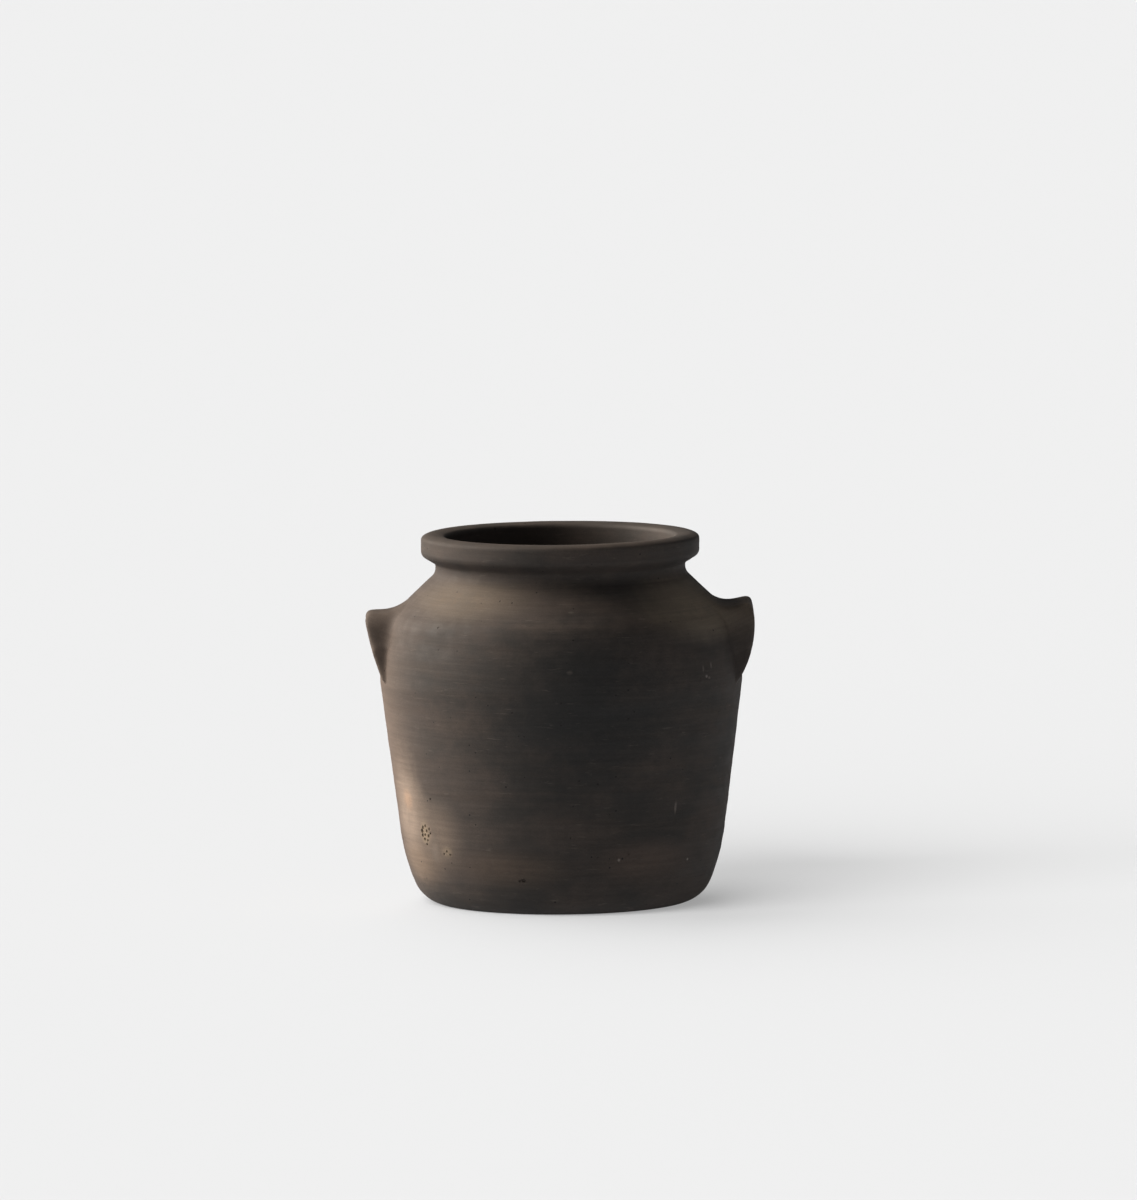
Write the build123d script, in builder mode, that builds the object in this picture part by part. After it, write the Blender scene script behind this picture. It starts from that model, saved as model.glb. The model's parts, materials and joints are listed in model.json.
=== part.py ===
"""Smoke-blackened clay storage pot, built up by hand and turned true on a wheel.

The clay goes together from the ground up: a pat of clay makes the floor and the rounded heel, three
courses raise the wall to the shoulder, a collar makes the neck, and a thick roll makes the rim. Two
arched lugs are luted to the shoulder, one each side, with room for the fingers under each arch.
Every piece meets its neighbour face to face, on the slanting faces that a potter cuts, scores and
slips before joining. Nothing on the pot moves.

Frame: +Z up, the pot stands on Z = 0 with its turning axis on Z, and the lugs lie along +X and -X.
All sizes are in millimetres and all angles in degrees.
"""

from build123d import *

import os
from dataclasses import dataclass
from math import cos, radians, sin

# ---- Driving sizes of the turned form -------------------------------------------------------------
TOTAL_HEIGHT = 305.0
BELLY_RADIUS = 149.7  # the widest place, on the outside
NECK_RADIUS = 103.2  # the narrowest place, on the outside
RIM_RADIUS = 115.0
WALL = 9.0  # the clay's thickness, in the wall and in the floor

HEEL_ARC, HEEL_TURN = 28.0, 67.0  # the rounded bottom edge: its radius, and how far it turns
FLARE_ARC = 170.0  # the slow curve from the heel into the wall
WALL_LEAN = 7.25  # from upright
BELLY_LOW_ARC = 90.0
BELLY_TOP_ARC, BELLY_TOP_TURN = 140.0, 17.5
SHOULDER_ARC, SHOULDER_SLOPE = 25.0, 46.5  # the slope is from upright
NECK_ARC = 11.0
NECK_UPRIGHT = 1.0

GROOVE_ARC = 3.5  # the tight curve under the rim
RIM_UNDERCUT = 58.0
RIM_LIP_ARC = 4.0
RIM_BAND = 8.8  # the upright part of the rim's outer face
RIM_TOP_ARC = 6.0
MOUTH_EDGE_ARC = 7.0

# ---- Where one piece of clay ends and the next begins ---------------------------------------------
# Each joint runs through the wall as a cone: its height and radius at the outer face, and how far it
# rises for each millimetre further out.
FOOT_JOINT = (26.0, 125.8, -0.35)
LOW_JOINT = (110.0, 140.6, 0.45)
HIGH_JOINT = (190.0, 149.6, -0.45)
COLLAR_JOINT = (259.5, 117.5, 0.9)
RIM_JOINT = (280.5, 103.4, -0.25)
JOINT_REACH = 16.0  # how far a joint's slanting line is drawn, each way from the outer face

# ---- Sizes worked out from those ------------------------------------------------------------------


def s(degrees):
    """Sine of an angle in degrees."""
    return sin(radians(degrees))


def c(degrees):
    """Cosine of an angle in degrees."""
    return cos(radians(degrees))


slope_length = (
    BELLY_RADIUS
    - NECK_RADIUS
    - BELLY_TOP_ARC * (1 - c(BELLY_TOP_TURN))
    - SHOULDER_ARC * (c(BELLY_TOP_TURN) - c(SHOULDER_SLOPE))
    - NECK_ARC * (1 - c(SHOULDER_SLOPE))
) / s(SHOULDER_SLOPE)
belly_to_neck = (
    BELLY_TOP_ARC * s(BELLY_TOP_TURN)
    + SHOULDER_ARC * (s(SHOULDER_SLOPE) - s(BELLY_TOP_TURN))
    + slope_length * c(SHOULDER_SLOPE)
    + NECK_ARC * s(SHOULDER_SLOPE)
)
undercut_run = (
    RIM_RADIUS
    - NECK_RADIUS
    - GROOVE_ARC * (1 - c(RIM_UNDERCUT))
    - RIM_LIP_ARC * (1 - c(RIM_UNDERCUT))
) / s(RIM_UNDERCUT)
neck_to_top = (
    NECK_UPRIGHT
    + (GROOVE_ARC + RIM_LIP_ARC) * s(RIM_UNDERCUT)
    + undercut_run * c(RIM_UNDERCUT)
    + RIM_BAND
    + RIM_TOP_ARC
)
belly_height = TOTAL_HEIGHT - neck_to_top - belly_to_neck

heel_lean = 90 - HEEL_TURN
wall_length = (
    belly_height
    - BELLY_LOW_ARC * s(WALL_LEAN)
    - FLARE_ARC * (s(heel_lean) - s(WALL_LEAN))
    - HEEL_ARC * (1 - s(heel_lean))
) / c(WALL_LEAN)
foot_radius = (
    BELLY_RADIUS
    - BELLY_LOW_ARC * (1 - c(WALL_LEAN))
    - wall_length * s(WALL_LEAN)
    - FLARE_ARC * (c(WALL_LEAN) - c(heel_lean))
    - HEEL_ARC * c(heel_lean)
)
throat_radius = NECK_RADIUS - WALL
mouth_land = RIM_RADIUS - RIM_TOP_ARC - throat_radius - MOUTH_EDGE_ARC


# ---- The turned form ------------------------------------------------------------------------------


def wall_run(inset):
    """Draws the pot's curve from its axis to its neck, `inset` inside the outer face.

    The inner face turns through the same angles on the same centres, so the clay keeps one
    thickness. Returns the first line and the last arc, which ends upright at the neck.
    """
    foot = Line((0, inset), (foot_radius, inset))
    heel = JernArc(foot @ 1, foot % 1, HEEL_ARC - inset, HEEL_TURN)
    flare = JernArc(heel @ 1, heel % 1, FLARE_ARC - inset, heel_lean - WALL_LEAN)
    wall = Line(flare @ 1, flare @ 1 + wall_length * (flare % 1))
    belly_low = JernArc(wall @ 1, wall % 1, BELLY_LOW_ARC - inset, WALL_LEAN)
    belly_top = JernArc(belly_low @ 1, belly_low % 1, BELLY_TOP_ARC - inset, BELLY_TOP_TURN)
    shoulder_turn = SHOULDER_SLOPE - BELLY_TOP_TURN
    shoulder = JernArc(belly_top @ 1, belly_top % 1, SHOULDER_ARC - inset, shoulder_turn)
    slope = Line(shoulder @ 1, shoulder @ 1 + slope_length * (shoulder % 1))
    neck = JernArc(slope @ 1, slope % 1, NECK_ARC + inset, -SHOULDER_SLOPE)
    return foot, neck


def rim_run(neck):
    """Draws the rim's outer face and top, from the neck to the mouth's edge. Returns the last arc."""
    upright = Line(neck @ 1, neck @ 1 + NECK_UPRIGHT * (neck % 1))
    groove = JernArc(upright @ 1, upright % 1, GROOVE_ARC, -RIM_UNDERCUT)
    undercut = Line(groove @ 1, groove @ 1 + undercut_run * (groove % 1))
    lip = JernArc(undercut @ 1, undercut % 1, RIM_LIP_ARC, RIM_UNDERCUT)
    band = Line(lip @ 1, lip @ 1 + RIM_BAND * (lip % 1))
    top = JernArc(band @ 1, band % 1, RIM_TOP_ARC, 90)
    land = Line(top @ 1, top @ 1 + mouth_land * (top % 1))
    return JernArc(land @ 1, land % 1, MOUTH_EDGE_ARC, 90)


# The clay's half-section, from the turning axis outwards.
with BuildSketch(Plane.XZ) as clay_section:
    with BuildLine():
        under_floor, outer_neck = wall_run(0)
        mouth_edge = rim_run(outer_neck)
        over_floor, inner_neck = wall_run(WALL)
        throat = Line(inner_neck @ 1, mouth_edge @ 1)
        Line(under_floor @ 0, over_floor @ 0)
    make_face()

# The outline filled in as far as the neck: the space that the lugs stay out of.
with BuildPart() as filled_form:
    with BuildSketch(Plane.XZ):
        with BuildLine():
            bottom, neck_side = wall_run(0)
            Polyline(neck_side @ 1, (0, (neck_side @ 1).Y), bottom @ 0)
        make_face()
    revolve(axis=Axis.Z)


# ---- Pieces of clay that go round the pot ---------------------------------------------------------

CLEAR = 20.0  # how far the cutting outline reaches past the clay


def joint_line(joint):
    """A joint's line, from the turning axis, level across the cavity, and slanting through the wall."""
    height, radius, rise = joint
    inner = (radius - JOINT_REACH, height - rise * JOINT_REACH)
    outer = (radius + JOINT_REACH, height + rise * JOINT_REACH)
    return (0, inner[1]), inner, outer


def level_line(height):
    """A level line from the turning axis to clear of the wall."""
    return (0, height), (BELLY_RADIUS + CLEAR, height)


def course(name, lower, upper):
    """One piece of clay that goes round the pot, between a lower and an upper line."""
    with BuildPart() as ring:
        with BuildSketch(Plane.XZ):
            add(clay_section.sketch_local)
            Polygon(*lower, *reversed(upper), align=None, mode=Mode.INTERSECT)
        revolve(axis=Axis.Z)
    ring.part.label = name
    return ring.part


# ---- Lugs -----------------------------------------------------------------------------------------


@dataclass
class Lug:
    """One arched lug, as the potter pressed it on. Heights are above the foot of the pot."""

    name: str
    side: int  # +1 towards +X, -1 towards -X
    crest_height: float
    foot_height: float
    reach: float  # how far the tip stands from the pot's axis
    tip_height: float
    bulge: float  # how far the outer edge swells out from a straight line
    dip: float  # how deep the top sags between its outer edge and the shoulder


LUG_HALF_WIDTH = 37.0  # at the feet
LUG_ARM = 13.0  # the arms' width at the feet
LUG_CREST_DEPTH = 15.0  # the arch's depth at its crest
LUG_FOOT_STAND = 1.6  # how far the feet stand out of the wall
LUG_FOOT_ROUND = 4.0
LUG_NOSE = 9.0  # how far the top edge is drawn in from the tip
LUG_ROOT = 112.0  # well inside the wall, where the lug is drawn from before it is seated
LUG_DROP = 3.0  # how far the outline runs below the feet
LUG_SAG_INSET = 12.0  # where the top sags, in from the belly's radius
LUG_TOP_RISE = 4.0  # how far the top climbs again at the root
LUG_SPARE = 1.0  # how much wider than the lug the outline is drawn

LUGS = (
    Lug("left_lug", -1, 241.0, 184.0, reach=162.5, tip_height=234.0, bulge=0.6, dip=0.8),
    Lug("right_lug", 1, 251.0, 182.0, reach=159.5, tip_height=235.0, bulge=3.2, dip=2.4),
)


def arched_lug(shape):
    """An arch seen from the side of the pot, cut to its outline seen from the front, and seated."""
    spring = shape.foot_height
    rise = shape.crest_height - spring
    low = spring - LUG_DROP
    root = shape.side * LUG_ROOT
    tip = Vector(shape.side * shape.reach, shape.tip_height)
    foot = Vector(shape.side * (BELLY_RADIUS + LUG_FOOT_STAND), low)
    root_top = Vector(root, shape.crest_height + LUG_TOP_RISE)
    nose_top = Vector(shape.side * (shape.reach - LUG_NOSE), shape.crest_height)
    outward = Vector((tip - foot).Y, -(tip - foot).X).normalized() * shape.side
    with BuildPart() as lug:
        with BuildSketch(Plane.YZ.offset(root)) as arch:
            with BuildLine():
                EllipticalCenterArc((0, spring), LUG_HALF_WIDTH, rise, arc_size=180)
                Line((-LUG_HALF_WIDTH, spring), (LUG_HALF_WIDTH, spring))
            make_face()
            with BuildLine():
                hollow = LUG_HALF_WIDTH - LUG_ARM
                EllipticalCenterArc((0, spring), hollow, rise - LUG_CREST_DEPTH, arc_size=180)
                Line((-hollow, spring), (hollow, spring))
            make_face(mode=Mode.SUBTRACT)
            fillet(arch.vertices().group_by(Axis.Y)[0], LUG_FOOT_ROUND)
        extrude(amount=shape.side * (shape.reach - LUG_ROOT))
        with BuildSketch(Plane.XZ):
            with BuildLine():
                ThreePointArc(foot, (tip + foot) * 0.5 + shape.bulge * outward, tip)
                Line(tip, nose_top)
                sag = Vector(shape.side * (BELLY_RADIUS - LUG_SAG_INSET), shape.crest_height - shape.dip)
                Spline(nose_top, sag, root_top)
                Polyline(root_top, (root, low), foot)
            make_face()
        extrude(amount=LUG_HALF_WIDTH + LUG_SPARE, both=True, mode=Mode.INTERSECT)
        add(filled_form.part, mode=Mode.SUBTRACT)
    lug.part.label = shape.name
    return lug.part


# ---- Make every piece and write it ----------------------------------------------------------------

joints = (FOOT_JOINT, LOW_JOINT, HIGH_JOINT, COLLAR_JOINT, RIM_JOINT)
cuts = [level_line(-CLEAR), *map(joint_line, joints), level_line(TOTAL_HEIGHT + CLEAR)]
courses = ("base_pat", "lower_wall", "belly_wall", "shoulder_wall", "neck_collar", "rim_roll")
pieces = [course(name, cuts[i], cuts[i + 1]) for i, name in enumerate(courses)]
pieces += [arched_lug(shape) for shape in LUGS]

os.makedirs("parts", exist_ok=True)
for piece in pieces:
    export_step(piece, f"parts/{piece.label}.step")
    print(f"{piece.label}: {len(piece.solids())} solid, {piece.volume / 1000:.1f} cm3")
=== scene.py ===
"""Smoke-blackened clay pot with two arched lugs: the visible pieces, their clay and a plain studio.

The pot is turned once as a single shell, given its throwing rings, its lean and its pits, and then
parted at its luting joints into the six pieces that go round it. Each lug is a flap of clay, cut to an
arch and smeared on to the shoulder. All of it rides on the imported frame, in metres.
"""

import json
import logging
import math
from contextlib import contextmanager
from dataclasses import dataclass, field
from enum import Enum
from typing import Iterator

import bpy
import numpy as np
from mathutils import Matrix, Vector

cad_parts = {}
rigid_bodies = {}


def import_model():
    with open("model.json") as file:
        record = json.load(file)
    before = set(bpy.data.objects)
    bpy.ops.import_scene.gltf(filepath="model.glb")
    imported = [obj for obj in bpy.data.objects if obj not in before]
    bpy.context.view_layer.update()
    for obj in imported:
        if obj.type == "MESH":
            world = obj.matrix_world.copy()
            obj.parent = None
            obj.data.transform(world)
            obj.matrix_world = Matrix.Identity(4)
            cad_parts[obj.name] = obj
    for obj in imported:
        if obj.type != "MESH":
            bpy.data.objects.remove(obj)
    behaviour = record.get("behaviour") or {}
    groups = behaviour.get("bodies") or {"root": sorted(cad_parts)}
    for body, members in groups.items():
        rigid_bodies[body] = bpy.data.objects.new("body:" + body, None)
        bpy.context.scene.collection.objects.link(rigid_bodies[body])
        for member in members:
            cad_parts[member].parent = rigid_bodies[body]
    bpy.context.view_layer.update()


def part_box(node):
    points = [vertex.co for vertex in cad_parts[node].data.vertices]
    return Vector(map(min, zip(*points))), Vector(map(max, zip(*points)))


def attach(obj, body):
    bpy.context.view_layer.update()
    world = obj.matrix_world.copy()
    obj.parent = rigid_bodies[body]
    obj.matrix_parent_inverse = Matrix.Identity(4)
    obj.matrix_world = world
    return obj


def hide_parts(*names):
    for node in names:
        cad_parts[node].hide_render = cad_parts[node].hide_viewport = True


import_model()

MM = 0.001
TOUCH = 0.01 * MM  # vertices this near each other are one
LOG = logging.getLogger("clay_pot")


# ---- Small tools ----------------------------------------------------------------------------------


def linear(colour: str) -> tuple[float, float, float, float]:
    """Turns an sRGB hex colour into linear values.

    Args:
        colour: six hex digits, with or without a leading hash.

    Returns:
        Red, green, blue and an alpha of one.
    """
    digits = colour.lstrip("#")
    channels = [int(digits[i:i + 2], 16) / 255 for i in (0, 2, 4)]
    values = [c / 12.92 if c <= 0.04045 else ((c + 0.055) / 1.055) ** 2.4 for c in channels]
    return (*values, 1.0)


def rest_all() -> None:
    """Leaves nothing selected, so that a new primitive comes in alone."""
    for other in bpy.context.view_layer.objects:
        other.select_set(False)


def only(piece: bpy.types.Object) -> None:
    """Makes one object the only one selected, and the active one.

    Args:
        piece: the object to work on.
    """
    rest_all()
    piece.select_set(True)
    bpy.context.view_layer.objects.active = piece


@contextmanager
def editing(piece: bpy.types.Object, select: str = "SELECT") -> Iterator[None]:
    """Holds a piece in edit mode, in vertex selection.

    Args:
        piece: the mesh object to edit.
        select: SELECT or DESELECT everything on entry, or KEEP what is selected.

    Yields:
        Nothing; the piece leaves edit mode afterwards.
    """
    only(piece)
    bpy.ops.object.mode_set(mode="EDIT")
    bpy.ops.mesh.select_mode(type="VERT")
    if select != "KEEP":
        bpy.ops.mesh.select_all(action=select)
    yield
    bpy.ops.object.mode_set(mode="OBJECT")


def read(elements: bpy.types.bpy_prop_collection, name: str) -> np.ndarray:
    """Reads one vector from every element of a mesh.

    Args:
        elements: the mesh's vertices, faces or normals.
        name: which vector to read.

    Returns:
        One row of x, y and z for each element.
    """
    flat = np.empty(len(elements) * 3, np.float32)
    elements.foreach_get(name, flat)
    return flat.reshape(-1, 3)


def places(piece: bpy.types.Object) -> np.ndarray:
    """Where a piece's vertices are, as rows of x, y and z."""
    return read(piece.data.vertices, "co")


def choose(piece: bpy.types.Object, wanted: np.ndarray) -> None:
    """Selects vertices, ready for the next time the piece is edited.

    Args:
        piece: a mesh object, out of edit mode.
        wanted: one true or false for each vertex.
    """
    with editing(piece, "DESELECT"):
        pass
    piece.data.vertices.foreach_set("select", wanted)


def keep_faces(piece: bpy.types.Object, wanted: np.ndarray) -> None:
    """Deletes every face of a piece but the wanted ones.

    Args:
        piece: a mesh object, out of edit mode.
        wanted: one true or false for each face.
    """
    with editing(piece, "DESELECT"):
        bpy.ops.mesh.select_mode(type="FACE")
    piece.data.polygons.foreach_set("select", ~wanted)
    only(piece)
    bpy.ops.object.mode_set(mode="EDIT")
    bpy.ops.mesh.delete(type="FACE")
    bpy.ops.object.mode_set(mode="OBJECT")


def copied(piece: bpy.types.Object, name: str) -> bpy.types.Object:
    """Copies a piece with its own mesh.

    Args:
        piece: the object to copy.
        name: the copy's name.

    Returns:
        The copy.
    """
    only(piece)
    bpy.ops.object.duplicate()
    copy = bpy.context.object
    copy.name = copy.data.name = name
    return copy


def finish_with(piece: bpy.types.Object, kind: str, **settings: object) -> None:
    """Puts a modifier on a piece and applies it.

    Args:
        piece: the object to change.
        kind: the modifier's type.
        **settings: its settings.
    """
    modifier = piece.modifiers.new(kind.lower(), kind)
    for name, value in settings.items():
        setattr(modifier, name, value)
    only(piece)
    bpy.ops.object.modifier_apply(modifier=modifier.name)


def close_up(piece: bpy.types.Object) -> None:
    """Merges doubled vertices and turns every face outwards.

    Args:
        piece: a mesh object whose skin closes on itself.
    """
    with editing(piece):
        bpy.ops.mesh.remove_doubles(threshold=TOUCH)
        bpy.ops.mesh.select_all(action="SELECT")
        bpy.ops.mesh.normals_make_consistent(inside=False)


def smooth(piece: bpy.types.Object, corner: float = 35) -> None:
    """Shades a piece smooth, with its true corners kept sharp.

    Args:
        piece: a mesh object.
        corner: the angle in degrees past which an edge is a corner.
    """
    only(piece)
    bpy.ops.object.shade_smooth_by_angle(angle=math.radians(corner))


# ---- Drawing an outline with one vertex -----------------------------------------------------------


@dataclass(frozen=True)
class Run:
    """A straight stretch of an outline, in metres."""

    length: float

    def inset(self, depth: float) -> "Run":
        """The same stretch a little further in: a straight keeps its length."""
        return self

    def walked_back(self) -> "Run":
        """The same stretch, walked the other way."""
        return self


@dataclass(frozen=True)
class Bend:
    """A round stretch of an outline: its radius in metres, and its turn in degrees, left being positive."""

    radius: float
    turn: float

    def travel(self, heading: float) -> Vector:
        """Works out how far the bend goes.

        Args:
            heading: its first heading, in degrees.

        Returns:
            How far across and up.
        """
        a, b = math.radians(heading), math.radians(heading + self.turn)
        reach = math.copysign(self.radius, self.turn)
        return reach * Vector((math.sin(b) - math.sin(a), math.cos(a) - math.cos(b)))

    def inset(self, depth: float) -> "Bend":
        """The same bend a little further in, on the same centre.

        Args:
            depth: how far in.

        Returns:
            The bend under the skin.
        """
        return Bend(self.radius - math.copysign(depth, self.turn), self.turn)

    def walked_back(self) -> "Bend":
        """The same bend, walked the other way."""
        return Bend(self.radius, -self.turn)


class Pen:
    """Draws an outline in the XZ plane by extruding one vertex from stroke to stroke."""

    def __init__(self, name: str, start: tuple[float, float], heading: float = 0.0) -> None:
        """Puts the first vertex down.

        Args:
            name: the new object's name.
            start: x and z of the first vertex.
            heading: the way to set off, in degrees from +X towards +Z.
        """
        self.at = Vector(start)
        self.heading = math.radians(heading)
        rest_all()
        bpy.ops.mesh.primitive_plane_add(size=MM, location=(start[0], 0, start[1]))
        self.piece = bpy.context.object
        self.piece.name = name
        bpy.ops.object.transform_apply(location=True)
        bpy.ops.object.mode_set(mode="EDIT")
        bpy.ops.mesh.select_mode(type="VERT")
        bpy.ops.mesh.select_all(action="SELECT")
        bpy.ops.mesh.merge(type="CENTER")

    def draw(self, stroke: Run | Bend, pitch: float) -> None:
        """Draws one stroke.

        Args:
            stroke: the run or the bend.
            pitch: the longest step between two vertices.
        """
        if isinstance(stroke, Run):
            self._run(stroke.length, pitch)
        else:
            self._bend(stroke, pitch)

    def _run(self, length: float, pitch: float) -> None:
        """Extrudes straight ahead.

        Args:
            length: how far.
            pitch: the longest step.
        """
        count = math.ceil(length / pitch)
        step = Vector((math.cos(self.heading), math.sin(self.heading))) * length / count
        for _ in range(count):
            bpy.ops.mesh.extrude_region_move(TRANSFORM_OT_translate={"value": (step.x, 0, step.y)})
        self.at += step * count

    def _bend(self, bend: Bend, pitch: float) -> None:
        """Spins the vertex round the bend's centre.

        Args:
            bend: the bend to draw.
            pitch: the longest step.
        """
        turn = math.radians(bend.turn)
        side = math.copysign(1, turn)
        arm = Vector((math.sin(self.heading), -math.cos(self.heading))) * side * bend.radius
        centre = self.at - arm
        bpy.ops.mesh.spin(
            steps=math.ceil(bend.radius * abs(turn) / pitch),
            angle=abs(turn),
            center=(centre.x, 0, centre.y),
            axis=(0, side, 0),
        )
        self.heading += turn
        self.at = centre + Vector((math.sin(self.heading), -math.cos(self.heading))) * side * bend.radius

    def face(self, heading: float) -> None:
        """Turns on the spot, to a heading in degrees."""
        self.heading = math.radians(heading)

    def lift(self) -> bpy.types.Object:
        """Leaves edit mode and hands the outline over."""
        bpy.ops.object.mode_set(mode="OBJECT")
        return self.piece


# ---- Marks that hands and the wheel leave ---------------------------------------------------------


class Side(Enum):
    """The two faces of the wall, each with its vertex group's name."""

    OUTSIDE = "outside"
    INSIDE = "inside"


@dataclass(frozen=True)
class Mark:
    """An uneven surface, as a noise that is longer round the pot than up it. All sizes in metres."""

    name: str
    round_size: float
    up_size: float
    depth: float
    detail: int = 1

    def press(self, piece: bpy.types.Object, side: Side | None = None, way: int = 1) -> None:
        """Works the mark into a piece, as much outwards as inwards.

        Args:
            piece: a mesh object at the origin.
            side: the face of the wall that takes the mark, or None for all of the piece.
            way: -1 to press a face that looks at the axis, so that the wall keeps its thickness.
        """
        texture = bpy.data.textures.new(self.name, "CLOUDS")
        texture.noise_scale = 1.0
        texture.noise_depth = self.detail
        rest_all()
        bpy.ops.object.empty_add()
        grid = bpy.context.object
        grid.scale = (self.round_size, self.round_size, self.up_size)
        bpy.context.view_layer.update()
        finish_with(
            piece, "DISPLACE", texture=texture, texture_coords="OBJECT", texture_coords_object=grid,
            strength=self.depth * way, mid_level=0.5, vertex_group=side.value if side else "",
        )
        bpy.data.objects.remove(grid)


@dataclass(frozen=True)
class Pit:
    """A small hollow. Azimuth in degrees from the front, positive towards +X; the rest in metres."""

    azimuth: float
    height: float
    width: float
    depth: float
    near: float = 6 * MM
    skin: float = 4 * MM

    def facing(self) -> Vector:
        """The level direction that the hollow looks in."""
        turn = math.radians(self.azimuth)
        return Vector((math.sin(turn), -math.cos(turn), 0))

    def away(self, points: np.ndarray) -> np.ndarray:
        """How far points of the outer skin are from the hollow's middle.

        Args:
            points: rows of x, y and z.

        Returns:
            The distances, with a metre for what lies behind the skin.
        """
        out = self.facing()
        ahead = points[:, 0] * out.x + points[:, 1] * out.y
        aside = points[:, 1] * out.x - points[:, 0] * out.y
        distance = np.hypot(aside, points[:, 2] - self.height)
        face = ahead[distance < self.near].max()
        return np.where(ahead > face - self.skin, distance, 1.0)


# ---- The pot's turned form ------------------------------------------------------------------------


@dataclass(frozen=True)
class Joint:
    """A slanting joint between two pieces: height and radius outside, and its rise going outwards."""

    height: float
    radius: float
    rise: float

    def above(self, radius: np.ndarray, height: np.ndarray) -> np.ndarray:
        """Tells which points lie above the joint.

        Args:
            radius: distance of each point from the axis.
            height: height of each point.

        Returns:
            One true or false for each point.
        """
        return height > self.height + self.rise * (radius - self.radius)


def lathe(outline: bpy.types.Object, steps: int) -> None:
    """Turns an outline round the Z axis into a closed skin.

    Args:
        outline: an outline in the half plane of +X that starts and ends on the axis.
        steps: how many faces go round.
    """
    finish_with(
        outline, "SCREW", axis="Z", angle=math.tau, steps=steps, render_steps=steps,
        use_merge_vertices=True, merge_threshold=TOUCH,
    )
    close_up(outline)


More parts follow.
